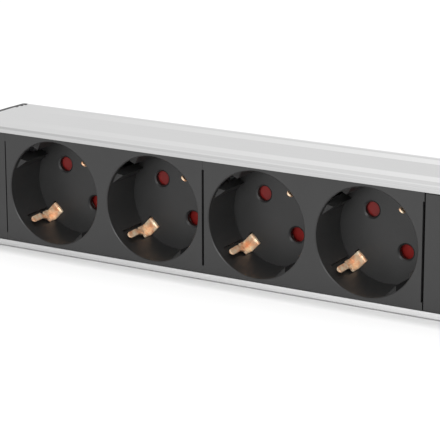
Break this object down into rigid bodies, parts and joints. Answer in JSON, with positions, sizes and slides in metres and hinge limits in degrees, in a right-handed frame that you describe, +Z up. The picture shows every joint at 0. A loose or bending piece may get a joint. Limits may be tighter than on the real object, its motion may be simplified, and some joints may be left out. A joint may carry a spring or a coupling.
{
  "type": "desk power strip",
  "caption": "Extruded aluminium desk power strip with angled shuttered mains sockets, blank end panel, wiring chamber and appliance inlet.",
  "frame": {"origin": "centre of the footprint, on the plane the feet stand on", "axes": "+X along the bar towards the wiring chamber and inlet, -Y out of the socket faces, +Z up"},
  "size_m": [0.2388, 0.04, 0.0461],
  "materials": {
    "anodised_aluminium": "satin anodised extrusion",
    "zinc_steel": "zinc plated",
    "red_plastic": "moulded red",
    "copper_alloy": "bright rolled copper alloy",
    "contact_brass": "rolled brass",
    "plated_blades": "nickel plated",
    "natural_plastic": "natural moulded",
    "brown_insulation": "smooth insulation",
    "blue_insulation": "smooth insulation",
    "green_yellow_insulation": "smooth insulation",
    "foot_rubber": "soft black",
    "cap_plastic": "fine grain black",
    "inlet_plastic": "moulded black",
    "black_plastic": "fine grain charcoal black"
  },
  "bodies": {
    "strip": {"profile": "anodised_aluminium", "end_cap_left": "cap_plastic", "end_cap_right": "cap_plastic", "end_cap_screws_left": "zinc_steel", "end_cap_screws_right": "zinc_steel", "socket_front_left": "black_plastic", "socket_front_right": "black_plastic", "contact_carrier_left": "natural_plastic", "contact_carrier_right": "natural_plastic", "contact_tray_left": "natural_plastic", "contact_tray_right": "natural_plastic", "module_screws_left": "zinc_steel", "module_screws_right": "zinc_steel", "blank_plate": "black_plastic", "wiring_cover": "black_plastic", "shutter_spring_1": "zinc_steel", "shutter_spring_2": "zinc_steel", "shutter_spring_3": "zinc_steel", "shutter_spring_4": "zinc_steel", "earth_clip_1": "copper_alloy", "earth_clip_2": "copper_alloy", "earth_clip_3": "copper_alloy", "earth_clip_4": "copper_alloy", "earth_bus": "copper_alloy", "live_rail": "contact_brass", "neutral_rail": "contact_brass", "inlet_body": "inlet_plastic", "inlet_blades": "plated_blades", "wire_live": "brown_insulation", "wire_neutral": "blue_insulation", "wire_earth": "green_yellow_insulation", "bond_strap": "copper_alloy", "bond_screw": "zinc_steel", "rubber_feet": "foot_rubber"},
    "shutter_body_1": {"shutter_1": "red_plastic"},
    "shutter_body_2": {"shutter_2": "red_plastic"},
    "shutter_body_3": {"shutter_3": "red_plastic"},
    "shutter_body_4": {"shutter_4": "red_plastic"}
  },
  "joints": [
    {"name": "shutter_1_turn", "type": "hinge", "parent": "strip", "child": "shutter_body_1", "pos_m": [-0.0786, 0.0002, 0.0232], "axis": [0, -1, 0], "range_deg": [0, 40], "stiffness_Nm_per_rad": 0.001, "springref_deg": -17.19},
    {"name": "shutter_2_turn", "type": "hinge", "parent": "strip", "child": "shutter_body_2", "pos_m": [-0.0354, 0.0002, 0.0232], "axis": [0, -1, 0], "range_deg": [0, 40], "stiffness_Nm_per_rad": 0.001, "springref_deg": -17.19},
    {"name": "shutter_3_turn", "type": "hinge", "parent": "strip", "child": "shutter_body_3", "pos_m": [0.0078, 0.0002, 0.0232], "axis": [0, -1, 0], "range_deg": [0, 40], "stiffness_Nm_per_rad": 0.001, "springref_deg": -17.19},
    {"name": "shutter_4_turn", "type": "hinge", "parent": "strip", "child": "shutter_body_4", "pos_m": [0.051, 0.0002, 0.0232], "axis": [0, -1, 0], "range_deg": [0, 40], "stiffness_Nm_per_rad": 0.001, "springref_deg": -17.19}
  ]
}
